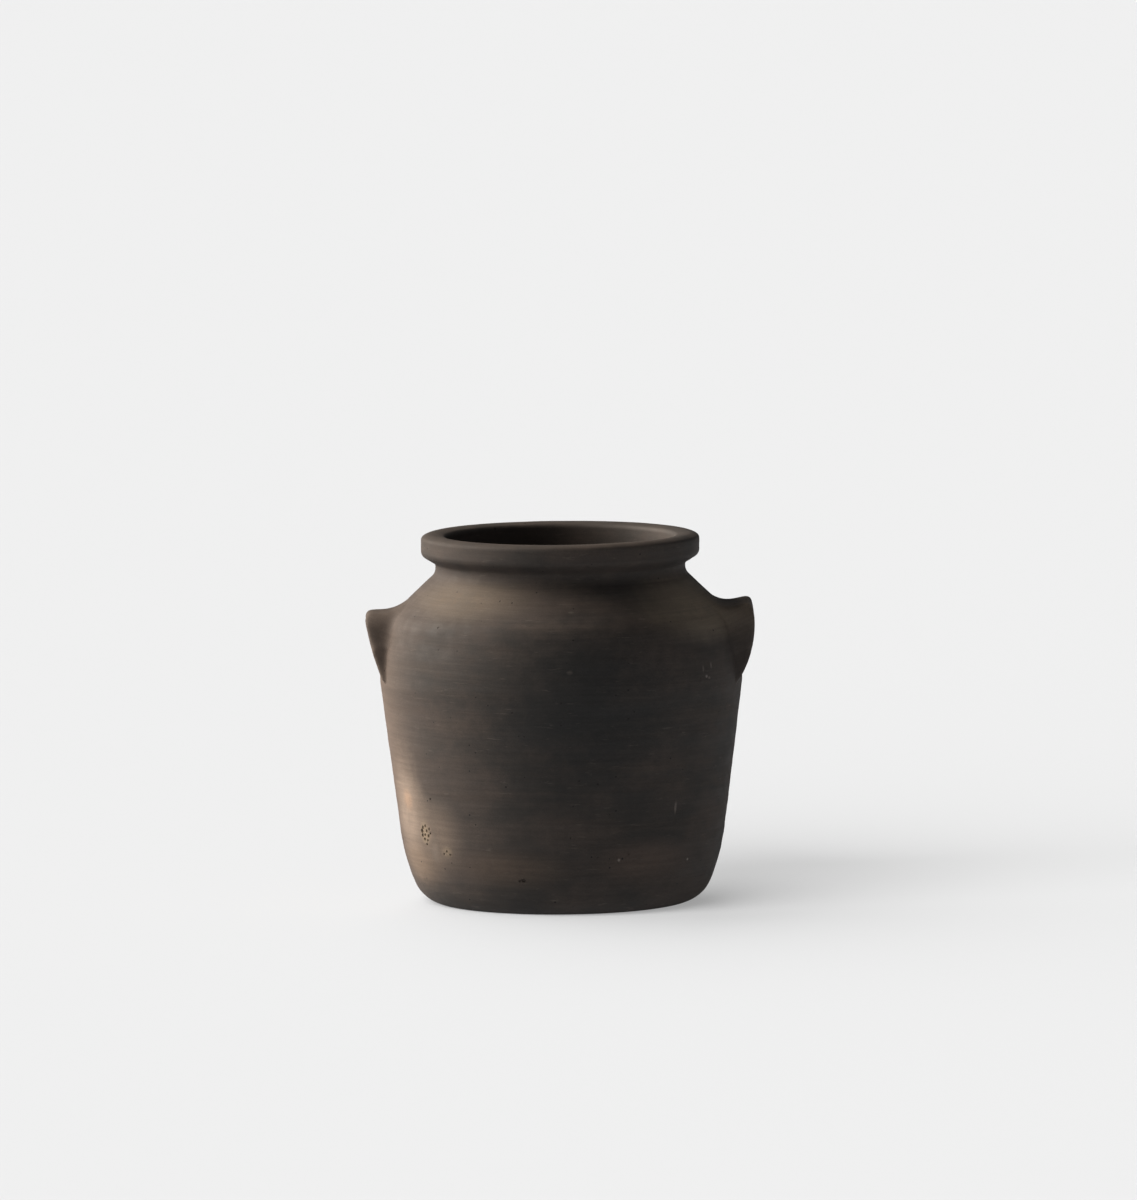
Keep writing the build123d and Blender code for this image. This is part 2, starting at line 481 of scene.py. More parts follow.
@dataclass
class TurnedPot:
    """The pot's shell, from the flat foot to the mouth, and the six pieces it is parted into."""

    height: float
    belly_radius: float
    rim_radius: float
    neck_radius: float = 103.2 * MM
    wall: float = 9 * MM
    heel: Bend = Bend(28 * MM, 67)
    flare: Bend = Bend(170 * MM, 15.75)
    belly_low: Bend = Bend(90 * MM, 7.25)
    belly_top: Bend = Bend(140 * MM, 17.5)
    shoulder: Bend = Bend(25 * MM, 29)
    neck: Bend = Bend(11 * MM, -46.5)
    neck_upright: float = 1 * MM
    groove: Bend = Bend(3.5 * MM, -58)
    lip: Bend = Bend(6 * MM, 58)
    band: float = 8.9 * MM
    rim_corner: Bend = Bend(3.5 * MM, 60)
    rim_crown: Bend = Bend(14 * MM, 30)
    rim_fall: Bend = Bend(30 * MM, 14)
    mouth_edge: Bend = Bend(4 * MM, 76)
    joints: tuple[Joint, ...] = (
        Joint(26 * MM, 125.8 * MM, -0.35),
        Joint(110 * MM, 140.6 * MM, 0.45),
        Joint(190 * MM, 149.6 * MM, -0.45),
        Joint(259.5 * MM, 117.5 * MM, 0.9),
        Joint(280.5 * MM, 103.4 * MM, -0.25),
    )
    courses: tuple[str, ...] = (
        "base_pat", "lower_wall", "belly_wall", "shoulder_wall", "neck_collar", "rim_roll",
    )
    outer_pitch: float = 0.8 * MM
    inner_pitch: float = 1.8 * MM
    flat_pitch: float = 4 * MM
    steps_round: int = 480
    core_steps: int = 96
    turn_in: float = 0.1
    turn_span: float = 0.7
    side_levels: int = 10
    floor_up: float = 0.2
    floor_zone: float = 60 * MM
    foot_reach: float = 96 * MM
    foot_zone: float = 95 * MM
    foot_press: float = 3 * MM
    crest_zone: float = 1.4 * MM
    pit_margin: float = 3 * MM
    lean: float = 0.5
    aside: float = 1.7 * MM
    body_marks: tuple[Mark, ...] = (
        Mark("out_of_round", 150 * MM, 120 * MM, 0.8 * MM),
        Mark("pressed_lumps", 38 * MM, 26 * MM, 0.3 * MM),
    )
    skin_marks: tuple[Mark, ...] = (
        Mark("throwing_rings", 260 * MM, 9 * MM, 0.4 * MM),
        Mark("wiping_lines", 110 * MM, 2.6 * MM, 0.14 * MM),
    )
    inner_marks: tuple[Mark, ...] = (Mark("finger_ridges", 300 * MM, 14 * MM, 1.2 * MM),)
    shell: bpy.types.Object = field(init=False, default=None)

    def wall_strokes(self) -> list[Run | Bend]:
        """Works out the outer face, so that the belly and the height are met.

        Returns:
            The strokes from the foot's middle to the neck.
        """
        heading, way = 0.0, {}
        for name in ("heel", "flare", "belly_low", "belly_top", "shoulder", "neck"):
            bend = getattr(self, name)
            way[name] = bend.travel(heading)
            heading += bend.turn
        wall_heading = math.radians(self.heel.turn + self.flare.turn)
        slope_heading = math.radians(90 + self.belly_top.turn + self.shoulder.turn)
        turned = way["belly_top"] + way["shoulder"] + way["neck"]
        slope = (self.neck_radius - self.belly_radius - turned.x) / math.cos(slope_heading)
        above = turned.y + slope * math.sin(slope_heading) + self.rim_height()
        below = way["heel"] + way["flare"] + way["belly_low"]
        wall = (self.height - above - below.y) / math.sin(wall_heading)
        foot = self.belly_radius - below.x - wall * math.cos(wall_heading)
        return [
            Run(foot), self.heel, self.flare, Run(wall), self.belly_low,
            self.belly_top, self.shoulder, Run(slope), self.neck,
        ]

    def undercut(self) -> float:
        """The straight slope under the rim."""
        corner = 1 - math.cos(math.radians(self.lip.turn))
        gap = self.rim_radius - self.neck_radius - (self.groove.radius + self.lip.radius) * corner
        return gap / math.sin(math.radians(self.lip.turn))

    def rim_height(self) -> float:
        """Adds up the height from the neck's narrowest ring to the top.

        Returns:
            The height in metres.
        """
        lean = math.radians(self.lip.turn)
        round_part = (self.groove.radius + self.lip.radius) * math.sin(lean)
        straight = self.undercut() * math.cos(lean)
        crown = self.rim_corner.travel(90) + self.rim_crown.travel(90 + self.rim_corner.turn)
        return self.neck_upright + round_part + straight + self.band + crown.y

    def rim_strokes(self) -> list[Run | Bend]:
        """Works out the rim, with its groove, lip, crown and mouth edge.

        Returns:
            The strokes from the neck, over the top and down the throat.
        """
        throat = self.neck_radius - self.wall
        fall = 180 + self.rim_fall.turn
        over = self.rim_corner.travel(90) + self.rim_crown.travel(90 + self.rim_corner.turn)
        over += self.rim_fall.travel(180) + self.mouth_edge.travel(fall)
        land = (throat - self.rim_radius - over.x) / math.cos(math.radians(fall))
        past_crest = self.rim_fall.travel(180) + self.mouth_edge.travel(fall)
        drop = self.rim_height() + past_crest.y + land * math.sin(math.radians(fall))
        return [
            Run(self.neck_upright), self.groove, Run(self.undercut()), self.lip, Run(self.band),
            self.rim_corner, self.rim_crown, self.rim_fall, Run(land), self.mouth_edge, Run(drop),
        ]

    def draw_section(self) -> bpy.types.Object:
        """Draws the wall's whole section, outside and inside, with a vertex at each joint.

        Returns:
            The outline as an object, in the half plane of +X.
        """
        outside = self.wall_strokes()
        pen = Pen("pot_shell", (0, 0))
        pen.draw(outside[0], self.flat_pitch)
        for stroke in outside[1:] + self.rim_strokes():
            pen.draw(stroke, self.outer_pitch)
        for stroke in reversed(outside[1:]):
            pen.draw(stroke.inset(self.wall).walked_back(), self.inner_pitch)
        pen.draw(outside[0], self.flat_pitch)
        for joint in self.joints:
            bpy.ops.mesh.select_all(action="SELECT")
            bpy.ops.mesh.bisect(
                plane_co=(joint.radius, 0, joint.height), plane_no=(-joint.rise, 0, 1)
            )
        return pen.lift()

    def core(self, depth: float) -> bpy.types.Object:
        """Turns the pot filled in, a little under its skin, for the lugs to be cut to.

        Args:
            depth: how far under the skin.

        Returns:
            A closed solid up to the neck.
        """
        pen = Pen("pot_core", (0, depth))
        for stroke in self.wall_strokes():
            pen.draw(stroke.inset(depth), self.flat_pitch)
        pen.face(180)
        pen.draw(Run(pen.at.x), self.flat_pitch)
        piece = pen.lift()
        lathe(piece, self.core_steps)
        return piece

    def turn(self) -> None:
        """Turns the section into the shell, and notes each face's course and each vertex's side."""
        self.shell = self.draw_section()
        lathe(self.shell, self.steps_round)
        mesh = self.shell.data
        centres = read(mesh.polygons, "center")
        radius = np.hypot(centres[:, 0], centres[:, 1])
        course = sum(joint.above(radius, centres[:, 2]).astype(np.int32) for joint in self.joints)
        mesh.attributes.new("course", "INT", "FACE").data.foreach_set("value", course)
        self._tell_sides()

    def _tell_sides(self) -> None:
        """Weighs each vertex as outside or inside, with a gradual change over the mouth's edge."""
        points = places(self.shell)
        normals = read(self.shell.data.vertex_normals, "vector")
        radius = np.maximum(np.hypot(points[:, 0], points[:, 1]), MM)
        inwards = -(points[:, 0] * normals[:, 0] + points[:, 1] * normals[:, 1]) / radius
        weight = np.clip((inwards - self.turn_in) / self.turn_span, 0, 1)
        weight[(points[:, 2] < self.floor_zone) & (normals[:, 2] > self.floor_up)] = 1
        levels = np.round(weight * self.side_levels).astype(int)
        inside = self.shell.vertex_groups.new(name=Side.INSIDE.value)
        outside = self.shell.vertex_groups.new(name=Side.OUTSIDE.value)
        for level in range(self.side_levels + 1):
            chosen = np.flatnonzero(levels == level).tolist()
            if chosen:
                inside.add(chosen, level / self.side_levels, "REPLACE")
                outside.add(chosen, 1 - level / self.side_levels, "REPLACE")

    def mark(self) -> None:
        """Works the hand and wheel marks into the shell."""
        for mark in self.body_marks:
            mark.press(self.shell, Side.OUTSIDE)
            mark.press(self.shell, Side.INSIDE, way=-1)
        for mark in self.skin_marks:
            mark.press(self.shell, Side.OUTSIDE)
        for mark in self.inner_marks:
            mark.press(self.shell, Side.INSIDE)

    def stand(self) -> None:
        """Lets the pot lean, sets its foot flat on the floor and brings its crest to its height."""
        with editing(self.shell):
            bpy.ops.transform.rotate(
                value=math.radians(self.lean), orient_axis="Y", center_override=(0, 0, 0)
            )
        points = places(self.shell)
        foot = points[:, 2][np.hypot(points[:, 0], points[:, 1]) < self.foot_reach]
        sunk = float(np.median(foot[foot < 2 * self.foot_press]))
        with editing(self.shell):
            bpy.ops.transform.translate(value=(self.aside, 0, -sunk))
        points = places(self.shell)
        inner = np.hypot(points[:, 0], points[:, 1]) < self.foot_zone
        choose(self.shell, (points[:, 2] < 0) | (inner & (points[:, 2] < self.foot_press)))
        with editing(self.shell, "KEEP"):
            bpy.ops.transform.resize(value=(1, 1, 0), center_override=(0, 0, 0))
        heights = places(self.shell)[:, 2]
        crest = float(heights[heights > self.height - self.crest_zone].mean())
        with editing(self.shell):
            bpy.ops.transform.resize(value=(1, 1, self.height / crest), center_override=(0, 0, 0))

    def pit(self, pits: tuple[Pit, ...]) -> None:
        """Dents the skin where bits of it have come away, on a finer mesh there.

        Args:
            pits: where and how large the hollows are.
        """
        points = places(self.shell)
        near = np.zeros(len(points), bool)
        for pit in pits:
            near |= pit.away(points) < pit.width + self.pit_margin
        choose(self.shell, near)
        with editing(self.shell, "KEEP"):
            bpy.ops.mesh.subdivide(number_cuts=2)
        points = places(self.shell)
        for pit in pits:
            choose(self.shell, pit.away(points) < pit.width / 2)
            inwards = -pit.depth * pit.facing()
            with editing(self.shell, "KEEP"):
                bpy.ops.transform.translate(value=tuple(inwards))

    def part(self) -> dict[str, bpy.types.Object]:
        """Parts the shell into its courses and closes each with its joint faces.

        Returns:
            The pieces by name.
        """
        pieces = {}
        course = np.empty(len(self.shell.data.polygons), np.int32)
        self.shell.data.attributes["course"].data.foreach_get("value", course)
        for number, name in enumerate(self.courses):
            piece = copied(self.shell, name + "_clay")
            keep_faces(piece, course == number)
            piece.data.attributes.remove(piece.data.attributes["course"])
            piece.vertex_groups.clear()
            self._close_joints(piece)
            smooth(piece)
            pieces[name] = piece
        bpy.data.objects.remove(self.shell)
        return pieces

    def _close_joints(self, piece: bpy.types.Object) -> None:
        """Bridges the outer and the inner edge of a ring at each of its joints.

        Args:
            piece: an open ring.
        """
        heights = places(piece)[:, 2]
        middle = (heights.min() + heights.max()) / 2
        for upper in (False, True):
            with editing(piece, "DESELECT"):
                bpy.ops.mesh.select_non_manifold(extend=False)
            open_edge = np.empty(len(piece.data.vertices), bool)
            piece.data.vertices.foreach_get("select", open_edge)
            open_edge &= (places(piece)[:, 2] > middle) == upper
            if open_edge.any():
                choose(piece, open_edge)
                with editing(piece, "KEEP"):
                    bpy.ops.mesh.bridge_edge_loops()
        with editing(piece):
            bpy.ops.mesh.normals_make_consistent(inside=False)


# ---- Lugs -----------------------------------------------------------------------------------------


@dataclass
class ArchedLug:
    """A lug: a flap of clay pressed up from below into an arch, and smeared on to the shoulder.

    The outline is the lug seen from the front of the pot, on the side of +X. Sizes in metres.
    """

    name: str
    side: int
    foot: tuple[float, float]
    edge_lean: float
    edge: tuple[Bend, ...]
    tip_radius: float
    top_heading: float
    top: float
    saddle: Bend
    half_width: float
    crown_half_width: float
    crown_round: float
    foot_arm: float = 10 * MM
    crown_arm: float = 15 * MM
    crown_depth: float = 16 * MM
    root: float = 112 * MM
    crown_pitch: float = 0.25
    crown_over: float = 3.5 * MM
    slab_half: float = 60 * MM
    block_length: float = 100 * MM
    block_middle: float = 150 * MM
    block_below: float = 10 * MM
    hollow_flat: float = 2 * MM
    straight_pitch: float = 5 * MM
    edge_pitch: float = 4 * MM
    top_pitch: float = 2 * MM
    tip_pitch: float = 1 * MM
    own_side: float = 60 * MM
    facing_out: float = 0.1
    seat: float = 4 * MM
    sunk: float = 0.5 * MM
    smear: float = 22 * MM
    smear_above: float = 17.6 * MM
    touching: float = 2 * MM
    crisp_foot: float = 26 * MM
    voxel: float = 0.9 * MM
    softness: int = 24
    smear_softness: int = 340
    marks: tuple[Mark, ...] = (
        Mark("lug_lumps", 22 * MM, 16 * MM, 0.5 * MM),
        Mark("lug_wiping", 60 * MM, 2.6 * MM, 0.12 * MM),
    )

    def flap(self) -> bpy.types.Object:
        """Draws the outline from the front and gives it width along Y.

        Returns:
            A closed slab that runs well into the wall.
        """
        pen = Pen(self.name, (self.root, self.foot[1]))
        pen.draw(Run(self.foot[0] - self.root), self.straight_pitch)
        pen.face(self.edge_lean)
        for bend in self.edge:
            pen.draw(bend, self.edge_pitch)
        start = math.degrees(pen.heading)
        pen.draw(Bend(self.tip_radius, self.top_heading - start), self.tip_pitch)
        pen.draw(Run(self.top), self.top_pitch)
        pen.draw(self.saddle, self.top_pitch)
        pen.draw(Run((self.root - pen.at.x) / math.cos(pen.heading)), self.straight_pitch)
        bpy.ops.mesh.select_all(action="SELECT")
        bpy.ops.mesh.edge_face_add()
        bpy.ops.transform.translate(value=(0, -self.slab_half, 0))
        width = (0, 2 * self.slab_half, 0)
        bpy.ops.mesh.extrude_region_move(TRANSFORM_OT_translate={"value": width})
        piece = pen.lift()
        if self.side < 0:
            with editing(piece):
                bpy.ops.transform.resize(value=(-1, 1, 1), center_override=(0, 0, 0))
        with editing(piece):
            bpy.ops.mesh.normals_make_consistent(inside=False)
        return piece

    def tunnel(self, name: str, half: float, crown_half: float, top: float, rounding: float,
               bottom: float, pitch: float = 0.0) -> bpy.types.Object:
        """Makes a long block with a round crown, which lies along X.

        Args:
            name: the block's name.
            half: half its width at the foot.
            crown_half: half its width at the crown, before it is rounded.
            top: how high the crown is.
            rounding: the crown's corner radius.
            bottom: how low the block goes.
            pitch: how far the crown climbs for each metre towards the pot.

        Returns:
            The block.
        """
        length, middle = self.block_length, self.block_middle
        rest_all()
        bpy.ops.mesh.primitive_cube_add(size=1)
        piece = bpy.context.object
        piece.name = name
        piece.scale = (length, 2 * half, top - bottom)
        piece.location = (self.side * middle, 0, (top + bottom) / 2)
        bpy.ops.object.transform_apply(location=True, rotation=True, scale=True)
        points = places(piece)
        crown = points[:, 2] > (top + bottom) / 2
        choose(piece, crown)
        with editing(piece, "KEEP"):
            bpy.ops.transform.resize(
                value=(1, crown_half / half, 1), center_override=(0, 0, top)
            )
        for end in (1, -1):
            points = places(piece)
            choose(piece, crown & ((points[:, 0] * self.side > middle) == (end > 0)))
            with editing(piece, "KEEP"):
                bpy.ops.transform.translate(value=(0, 0, -end * pitch * length / 2))
        with editing(piece):
            bpy.ops.mesh.select_mode(type="EDGE")
            bpy.ops.mesh.select_all(action="DESELECT")
        points = places(piece)
        for edge in piece.data.edges:
            ends = points[list(edge.vertices)]
            along = abs(ends[0, 1] - ends[1, 1]) < MM and abs(ends[0, 0] - ends[1, 0]) > MM
            edge.select = bool(along and crown[list(edge.vertices)].all())
        only(piece)
        bpy.ops.object.mode_set(mode="EDIT")
        bpy.ops.mesh.bevel(offset=rounding, offset_type="OFFSET", segments=10, affect="EDGES")
        bpy.ops.object.mode_set(mode="OBJECT")
        return piece

    def pull(self, pot: TurnedPot) -> bpy.types.Object:
        """Shapes the lug against the pot and smears its root on to the wall.

        Args:
            pot: the turned pot, standing as it leans.

        Returns:
            The lug as one closed skin.
        """
        piece = self.flap()
        low, top = self.foot[1] - self.block_below, self.crown_height()
        arch = self.tunnel(
            "arch", self.half_width, self.crown_half_width, top + self.crown_over,
            self.crown_round, low, self.crown_pitch,
        )
        hollow_half = self.crown_half_width - self.crown_arm
        hollow = self.tunnel(
            "hollow", self.half_width - self.foot_arm, hollow_half,
            top - self.crown_depth, hollow_half - self.hollow_flat, low,
        )
        core = pot.core(self.seat)
        for other, how in ((arch, "INTERSECT"), (hollow, "DIFFERENCE"), (core, "DIFFERENCE")):
            finish_with(piece, "BOOLEAN", object=other, operation=how, solver="EXACT")
            bpy.data.objects.remove(other)
        patch = self.wall_patch(pot, top)
        only(piece)
        patch.select_set(True)
        bpy.ops.object.join()
        finish_with(piece, "REMESH", mode="VOXEL", voxel_size=self.voxel)
        finish_with(piece, "SMOOTH", factor=0.5, iterations=self.softness)
        self._smear(piece, pot)
        for mark in self.marks:
            mark.press(piece)
        smooth(piece, 60)
        piece.name = piece.data.name = self.name + "_clay"
        return piece

    def crown_height(self) -> float:
        """Adds up the outer edge's rise and the round tip's.

        Returns:
            The height of the arch's crown.
        """
        height, heading = self.foot[1], self.edge_lean
        for bend in self.edge:
            height += bend.travel(heading).y
            heading += bend.turn
        return height + self.tip_radius * (1 + math.cos(math.radians(heading)))

    def wall_patch(self, pot: TurnedPot, top: float) -> bpy.types.Object:
        """Copies the wall round the lug's root, sunk just under the skin, with some thickness.

        Args:
            pot: the turned pot.
            top: the lug's top.

        Returns:
            A closed plate of wall.
        """
        patch = copied(pot.shell, "patch")
        centres = read(patch.data.polygons, "center")
        normals = read(patch.data.polygon_normals, "vector")
        keep = centres[:, 0] * self.side > self.own_side
        keep &= normals[:, 0] * self.side > self.facing_out
        keep &= np.abs(centres[:, 1]) < self.half_width + self.smear
        keep &= centres[:, 2] > self.foot[1] - self.smear
        keep &= centres[:, 2] < top + self.smear_above
        keep_faces(patch, keep)
        patch.vertex_groups.clear()
        finish_with(patch, "DISPLACE", strength=-self.sunk, mid_level=0.0)
        finish_with(patch, "SOLIDIFY", thickness=self.seat, offset=-1)
        return patch

    def _smear(self, piece: bpy.types.Object, pot: TurnedPot) -> None:
        """Softens the lug where it meets the wall: broadly above, and only a little at its feet.

        Args:
            piece: the lug.
            pot: the turned pot.
        """
        for start, rounds in (
            (self.foot[1] + self.crisp_foot, self.smear_softness), (0.0, self.softness),
        ):
            root = piece.vertex_groups.new(name="root")
            root.add(np.flatnonzero(places(piece)[:, 2] > start).tolist(), 1.0, "REPLACE")
            finish_with(
                piece, "VERTEX_WEIGHT_PROXIMITY", vertex_group="root", target=pot.shell,
                proximity_mode="GEOMETRY", proximity_geometry={"FACE"},
                min_dist=self.smear, max_dist=self.touching,
            )
            finish_with(piece, "SMOOTH", factor=0.5, iterations=rounds, vertex_group="root")
            piece.vertex_groups.clear()


# ---- Finish ---------------------------------------------------------------------------------------

Socket = bpy.types.NodeSocket


class Nodes:
    """Fills one node tree, linking each node as it is added."""

    def __init__(self, owner: bpy.types.Material | bpy.types.World) -> None:
        """Starts with an empty tree.

        Args:
            owner: the material or the world that holds the tree.
        """
        owner.use_nodes = True
        self.tree = owner.node_tree
        self.tree.nodes.clear()

    def put(self, kind: str, links: dict[int | str, object], **settings: object) -> bpy.types.Node:
        """Adds a node with its settings, values and links.

        Args:
            kind: the node's type, without its family name.
            links: for each input, a socket to link from or a value to set.
            **settings: the node's own settings.

        Returns:
            The node.
        """
        node = self.tree.nodes.new("ShaderNode" + kind)
        for name, value in settings.items():
            setattr(node, name, value)
        for key, value in links.items():
            if isinstance(value, Socket):
                self.tree.links.new(value, node.inputs[key])
            else:
                node.inputs[key].default_value = value
        return node

    def noise(self, where: Socket, scale: tuple[float, ...], detail: float, rough: float) -> Socket:
        """Adds a noise that is stretched by its scale.

        Args:
            where: the place on the piece.
            scale: cycles a metre along x, y and z.
            detail: how many finer layers it has.
            rough: how strong they are.

        Returns:
            A value about a half.
        """
        place = self.put("Mapping", {"Vector": where, "Scale": scale}).outputs[0]
        settings = {"Vector": place, "Scale": 1.0, "Detail": detail, "Roughness": rough}
        return self.put("TexNoise", settings).outputs[0]

    def blend(self, one: Socket, two: Socket, share: float) -> Socket:
        """Mixes two values, with a share of the second."""
        return self.put("Mix", {"Factor": share, "A": one, "B": two}, data_type="FLOAT").outputs[0]

    def tint(self, under: Socket | tuple, over: Socket | tuple, amount: Socket | float,
             how: str = "MIX") -> Socket:
        """Lays one colour over another.

        Args:
            under: the colour below.
            over: the colour laid on.
            amount: how much of it.
            how: the way they blend.

        Returns:
            The colour.
        """
        node = self.put("Mix", {0: amount, 6: under, 7: over}, data_type="RGBA", blend_type=how)
        return node.outputs[2]

    def spread(self, value: Socket, low: float | Socket, high: float | Socket,
               bottom: float = 0.0, top: float = 1.0) -> Socket:
        """Stretches a value to a new range, smoothly and within its ends.

        Args:
            value: the value.
            low: what becomes the bottom.
            high: what becomes the top.
            bottom: the result at the low end.
            top: the result at the high end.

        Returns:
            The stretched value.
        """
        ends = {"Value": value, "From Min": low, "From Max": high, "To Min": bottom, "To Max": top}
        return self.put("MapRange", ends, interpolation_type="SMOOTHSTEP").outputs["Result"]


@dataclass(frozen=True)
class Patch:
    """A patch of colour on the pot: a stain or a worn spot, and on the right shoulder also painted light.
    Azimuth in degrees from the front; the rest in metres.
    """

    azimuth: float
    height: float
    radius: float
    across: float
    up: float
    colour: str
    amount: float
    ragged: float = 0.35

    def centre(self) -> Vector:
        """Where the middle of the patch is."""
        turn = math.radians(self.azimuth)
        return Vector((self.radius * math.sin(turn), -self.radius * math.cos(turn), self.height))


@dataclass(frozen=True)
class SmokedClay:
    """Earthenware scraped smooth, burnished with a wet rag and blackened in a smoky kiln.

    The eye gets a matt charcoal skin with a faint sheen, soft bands that run round it where the rag
    went, browner clouds where the smoke did not hold, and small pits, with the pores coloured dark as
    painted shade, and pale scuffs.
    """

    name: str = "smoked earthenware, rag burnished"
    soot: str = "322F2D"
    ash: str = "403935"
    brown: str = "554A42"
    worn: str = "6E665F"
    # The next colour is painted shade: it darkens the pores as if shade lay in their hollows.
    pore_painted_shade: str = "1F1C1B"
    roughness: tuple[float, float] = (0.66, 0.82)
    sheen: float = 0.3
    cloud: float = 70 * MM  # patches of thicker and thinner smoke
    cloud_up: float = 70 / 1.6 * MM
    band: float = 16 * MM  # the rag's width, and how far one wipe runs
    band_run: float = 140 * MM
    line: float = 2.2 * MM  # lines left by coarse threads
    line_run: float = 55 * MM
    scuff: float = 2.5 * MM
    scuff_run: float = 18 * MM
    mottle: float = 9 * MM
    grit: float = 1.2 * MM
    pore_spacing: float = 5 * MM
    pore_share: float = 0.14
    pore_size: float = 0.16
    pore_edge: float = 0.04
    relief: float = 0.6 * MM
    relief_strength: float = 0.5
    slope: float = 0.5
    smoke_range: tuple[float, float] = (0.35, 0.65)  # the noise values where each change starts and ends
    rag_range: tuple[float, float] = (0.45, 0.75)
    scuff_range: tuple[float, float] = (0.62, 0.74)
    grain_range: tuple[float, float] = (0.3, 0.7)
    rag_most: float = 0.25
    scuff_most: float = 0.22
    shades: tuple[float, float] = (0.78, 1.22)
    patches: tuple[Patch, ...] = ()

    def mix(self) -> bpy.types.Material:
        """Makes the material.

        Returns:
            The clay's material, on Object coordinates.
        """
        material = bpy.data.materials.new(self.name)
        nodes = Nodes(material)
        where = nodes.put("TexCoord", {}).outputs["Object"]
        rings = self._ring_space(nodes, where)
        clouds = nodes.noise(where, self._pace(self.cloud, self.cloud_up), 5, 0.6)
        bands = nodes.noise(rings, self._pace(self.band_run, self.band), 4, 0.6)
        lines = nodes.noise(rings, self._pace(self.line_run, self.line), 3, 0.6)
        grit = nodes.noise(where, self._pace(self.grit, self.grit), 3, 0.6)
        mottle = nodes.noise(where, self._pace(self.mottle, self.mottle), 3, 0.55)
        scuffs = nodes.noise(rings, self._pace(self.scuff_run, self.scuff), 3, 0.65)
        pores = self._pores(nodes, where)
        rag = nodes.blend(nodes.blend(clouds, mottle, 0.4), bands, 0.3)
        colour = self._smoke(nodes, clouds, bands)
        for patch in self.patches:
            colour = self._lay_stain_and_painted_light(nodes, where, colour, patch, rag)
        colour = self._shade(nodes, colour, nodes.blend(nodes.blend(lines, grit, 0.5), mottle, 0.4))
        worn = nodes.spread(scuffs, *self.scuff_range, top=self.scuff_most)
        colour = nodes.tint(colour, linear(self.worn), worn)
        # Painted shade: the pores are coloured dark, as if shade lay in their hollows.
        colour = nodes.tint(linear(self.pore_painted_shade), colour, pores)
        fine = nodes.blend(lines, grit, 0.55)
        relief = nodes.blend(nodes.blend(fine, bands, 0.25), pores, 0.4)
        sheen = nodes.blend(mottle, bands, 0.5)
        rough = nodes.spread(sheen, *self.grain_range, *self.roughness)
        heights = {"Strength": self.relief_strength, "Distance": self.relief, "Height": relief}
        bump = nodes.put("Bump", heights)
        shader = nodes.put("BsdfPrincipled", {
            "Base Color": colour, "Roughness": rough, "Normal": bump.outputs["Normal"], "IOR": 1.5,
            "Specular IOR Level": self.sheen,
        })
        nodes.put("OutputMaterial", {"Surface": shader.outputs["BSDF"]})
        return material

    def _pace(self, across: float, up: float) -> tuple[float, ...]:
        """A noise's cycles a metre, from its size across and up the pot."""
        return 1 / across, 1 / across, 1 / up

    def _pores(self, nodes: Nodes, where: Socket) -> Socket:
        """Scatters small open pores.

        Args:
            nodes: the material's nodes.
            where: the place on the piece.

        Returns:
            Nought in a pore and one elsewhere.
        """
        spots = {"Vector": where, "Scale": 1 / self.pore_spacing}
        cells = nodes.put("TexVoronoi", spots).outputs
        chance = nodes.put("SeparateColor", {0: cells["Color"]}).outputs[0]
        size = nodes.spread(chance, 1 - self.pore_share, 1.0, top=self.pore_size)
        wide = nodes.put("Math", {0: size, 1: self.pore_edge}, operation="ADD").outputs[0]
        return nodes.spread(cells["Distance"], size, wide)

    def _ring_space(self, nodes: Nodes, where: Socket) -> Socket:
        """Tilts height by radius, so that lines stay round the pot on its slopes, rim and foot.

        Args:
            nodes: the material's nodes.
            where: the place on the piece.

        Returns:
            The place with its height changed.
        """
        parts = nodes.put("SeparateXYZ", {0: where}).outputs
        flat = nodes.put("CombineXYZ", {0: parts[0], 1: parts[1]}).outputs[0]
        radius = nodes.put("VectorMath", {0: flat}, operation="LENGTH").outputs["Value"]
        tilt = {0: radius, 1: -self.slope, 2: parts[2]}
        height = nodes.put("Math", tilt, operation="MULTIPLY_ADD").outputs[0]
        return nodes.put("CombineXYZ", {0: parts[0], 1: parts[1], 2: height}).outputs[0]

    def _smoke(self, nodes: Nodes, clouds: Socket, bands: Socket) -> Socket:
        """Colours the clay with soot and ash in clouds, and with the rag's brown bands.

        Args:
            nodes: the material's nodes.
            clouds: a noise of large clouds.
            bands: a noise of the rag's bands.

        Returns:
            The colour.
        """
        thin = nodes.spread(clouds, *self.smoke_range)
        wiped = nodes.spread(bands, *self.rag_range, top=self.rag_most)
        colour = nodes.tint(linear(self.soot), linear(self.ash), thin)
        return nodes.tint(colour, linear(self.brown), wiped)

    def _shade(self, nodes: Nodes, colour: Socket, fine: Socket) -> Socket:
        """Darkens and lightens a colour by a fine noise.

        Args:
            nodes: the material's nodes.
            colour: the colour so far.
            fine: a noise of lines, grains and blotches.

        Returns:
            The colour with its grain.
        """
        shade = nodes.spread(fine, *self.grain_range, *self.shades)
        grey = nodes.put("CombineColor", {0: shade, 1: shade, 2: shade}).outputs[0]
        return nodes.tint(colour, grey, 1.0, "MULTIPLY")

